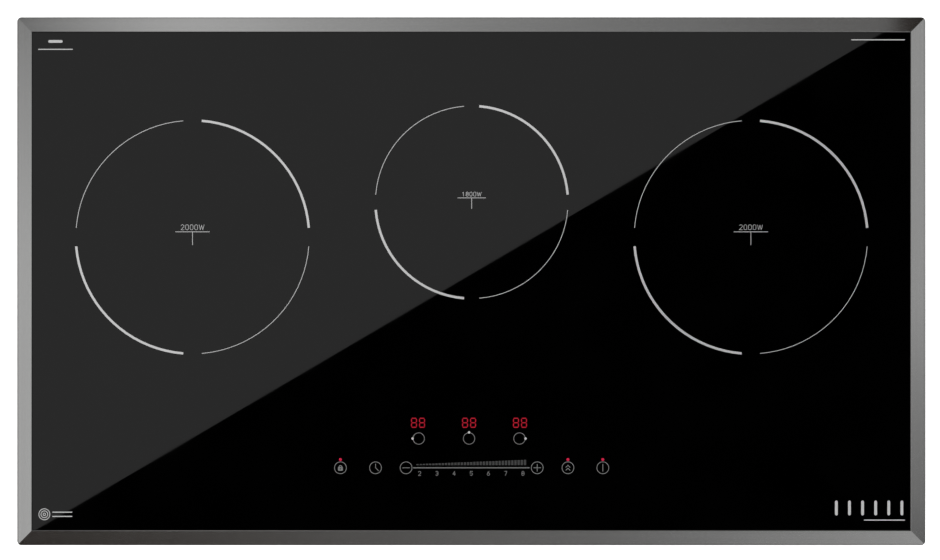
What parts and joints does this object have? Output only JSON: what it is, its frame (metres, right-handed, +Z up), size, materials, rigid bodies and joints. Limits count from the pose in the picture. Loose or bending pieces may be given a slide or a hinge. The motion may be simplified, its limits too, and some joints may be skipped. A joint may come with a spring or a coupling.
{
  "type": "induction cooktop",
  "caption": "Wide built-in induction cooktop: black glass in a bevelled metal frame, printed cooking zones, touch controls and a vented sheet-metal housing below the worktop.",
  "frame": {"origin": "centre of the worktop cut-out, in the plane of the worktop's top face", "axes": "+X to the cook's right, +Y away from the cook, +Z up out of the worktop"},
  "size_m": [0.86, 0.5, 0.0622],
  "materials": {
    "frame_metal": "brushed, bevelled",
    "black_glass": "polished black glass ceramic",
    "silicone": "matt black silicone",
    "foam": "matt dark grey closed-cell foam",
    "zone_ink": "fired grey ink",
    "control_ink": "fired grey ink",
    "red_light": "lit red window",
    "galvanised": "galvanised sheet with a faint spangle",
    "spring_steel": "satin spring steel",
    "zinc_screw": "bright zinc",
    "aluminium_sheet": "mill finish",
    "black_plastic": "fine-textured black",
    "grey_plastic": "satin light grey",
    "copper": "enamelled copper",
    "ferrite": "matt dark grey ferrite",
    "silicone_white": "matt white silicone",
    "mica": "pale mica sheet",
    "circuit_board": "green solder mask",
    "component": "glossy dark housing",
    "wire": "grey insulation"
  },
  "bodies": {
    "hob": {"trim_front": "frame_metal", "trim_rear": "frame_metal", "trim_left": "frame_metal", "trim_right": "frame_metal", "glass_top": "black_glass", "glass_adhesive": "silicone", "cable_bush": "silicone", "worktop_seal": "foam", "zone_print": "zone_ink", "control_print": "control_ink", "display_lights": "red_light", "bottom_case": "galvanised", "frame_brackets": "galvanised", "clip_tabs": "spring_steel", "coil_left_springs": "spring_steel", "coil_centre_springs": "spring_steel", "coil_right_springs": "spring_steel", "touch_springs": "spring_steel", "case_screws": "zinc_screw", "guide_screws": "zinc_screw", "corner_keys": "zinc_screw", "coil_tray": "aluminium_sheet", "heat_sink_left": "aluminium_sheet", "heat_sink_right": "aluminium_sheet", "terminal_cover": "black_plastic", "fan_left_housing": "black_plastic", "fan_right_housing": "black_plastic", "power_transistors": "black_plastic", "terminal_block": "grey_plastic", "control_holder": "grey_plastic", "board_spacers": "grey_plastic", "fan_left_motor": "copper", "fan_right_motor": "copper", "chokes": "copper", "mica_sheets": "mica", "power_board_left": "circuit_board", "power_board_right": "circuit_board", "filter_board": "circuit_board", "control_board": "circuit_board", "capacitors": "component", "display_modules": "component", "wiring_harness": "wire"},
    "coil_left": {"coil_left_winding": "copper", "coil_left_former": "black_plastic", "coil_left_ferrites": "ferrite", "coil_left_sensor": "silicone_white"},
    "coil_centre": {"coil_centre_winding": "copper", "coil_centre_former": "black_plastic", "coil_centre_ferrites": "ferrite", "coil_centre_sensor": "silicone_white"},
    "coil_right": {"coil_right_winding": "copper", "coil_right_former": "black_plastic", "coil_right_ferrites": "ferrite", "coil_right_sensor": "silicone_white"},
    "fan_left": {"fan_left_impeller": "black_plastic"},
    "fan_right": {"fan_right_impeller": "black_plastic"},
    "clip_left_front": {"clip_left_front": "spring_steel"},
    "clip_left_rear": {"clip_left_rear": "spring_steel"},
    "clip_right_front": {"clip_right_front": "spring_steel"},
    "clip_right_rear": {"clip_right_rear": "spring_steel"}
  },
  "joints": [
    {"name": "coil_left_press", "type": "slide", "parent": "hob", "child": "coil_left", "axis": [0, 0, -1], "range_m": [0, 0.0025], "stiffness_N_per_m": 4000, "springref_m": -0.004, "deforming": ["coil_left_springs"]},
    {"name": "coil_centre_press", "type": "slide", "parent": "hob", "child": "coil_centre", "axis": [0, 0, -1], "range_m": [0, 0.0025], "stiffness_N_per_m": 4000, "springref_m": -0.004, "deforming": ["coil_centre_springs"]},
    {"name": "coil_right_press", "type": "slide", "parent": "hob", "child": "coil_right", "axis": [0, 0, -1], "range_m": [0, 0.0025], "stiffness_N_per_m": 4000, "springref_m": -0.004, "deforming": ["coil_right_springs"]},
    {"name": "fan_left_spin", "type": "hinge", "parent": "hob", "child": "fan_left", "pos_m": [-0.1, 0.04, -0.04], "axis": [0, 0, 1], "continuous": true},
    {"name": "fan_right_spin", "type": "hinge", "parent": "hob", "child": "fan_right", "pos_m": [0.1, 0.04, -0.04], "axis": [0, 0, 1], "continuous": true},
    {"name": "clip_left_front_flex", "type": "hinge", "parent": "hob", "child": "clip_left_front", "pos_m": [-0.4095, -0.1, -0.02], "axis": [0, -1, 0], "range_deg": [0, 8], "stiffness_Nm_per_rad": 2.5},
    {"name": "clip_left_rear_flex", "type": "hinge", "parent": "hob", "child": "clip_left_rear", "pos_m": [-0.4095, 0.1, -0.02], "axis": [0, -1, 0], "range_deg": [0, 8], "stiffness_Nm_per_rad": 2.5},
    {"name": "clip_right_front_flex", "type": "hinge", "parent": "hob", "child": "clip_right_front", "pos_m": [0.4095, -0.1, -0.02], "axis": [0, 1, 0], "range_deg": [0, 8], "stiffness_Nm_per_rad": 2.5},
    {"name": "clip_right_rear_flex", "type": "hinge", "parent": "hob", "child": "clip_right_rear", "pos_m": [0.4095, 0.1, -0.02], "axis": [0, 1, 0], "range_deg": [0, 8], "stiffness_Nm_per_rad": 2.5}
  ]
}
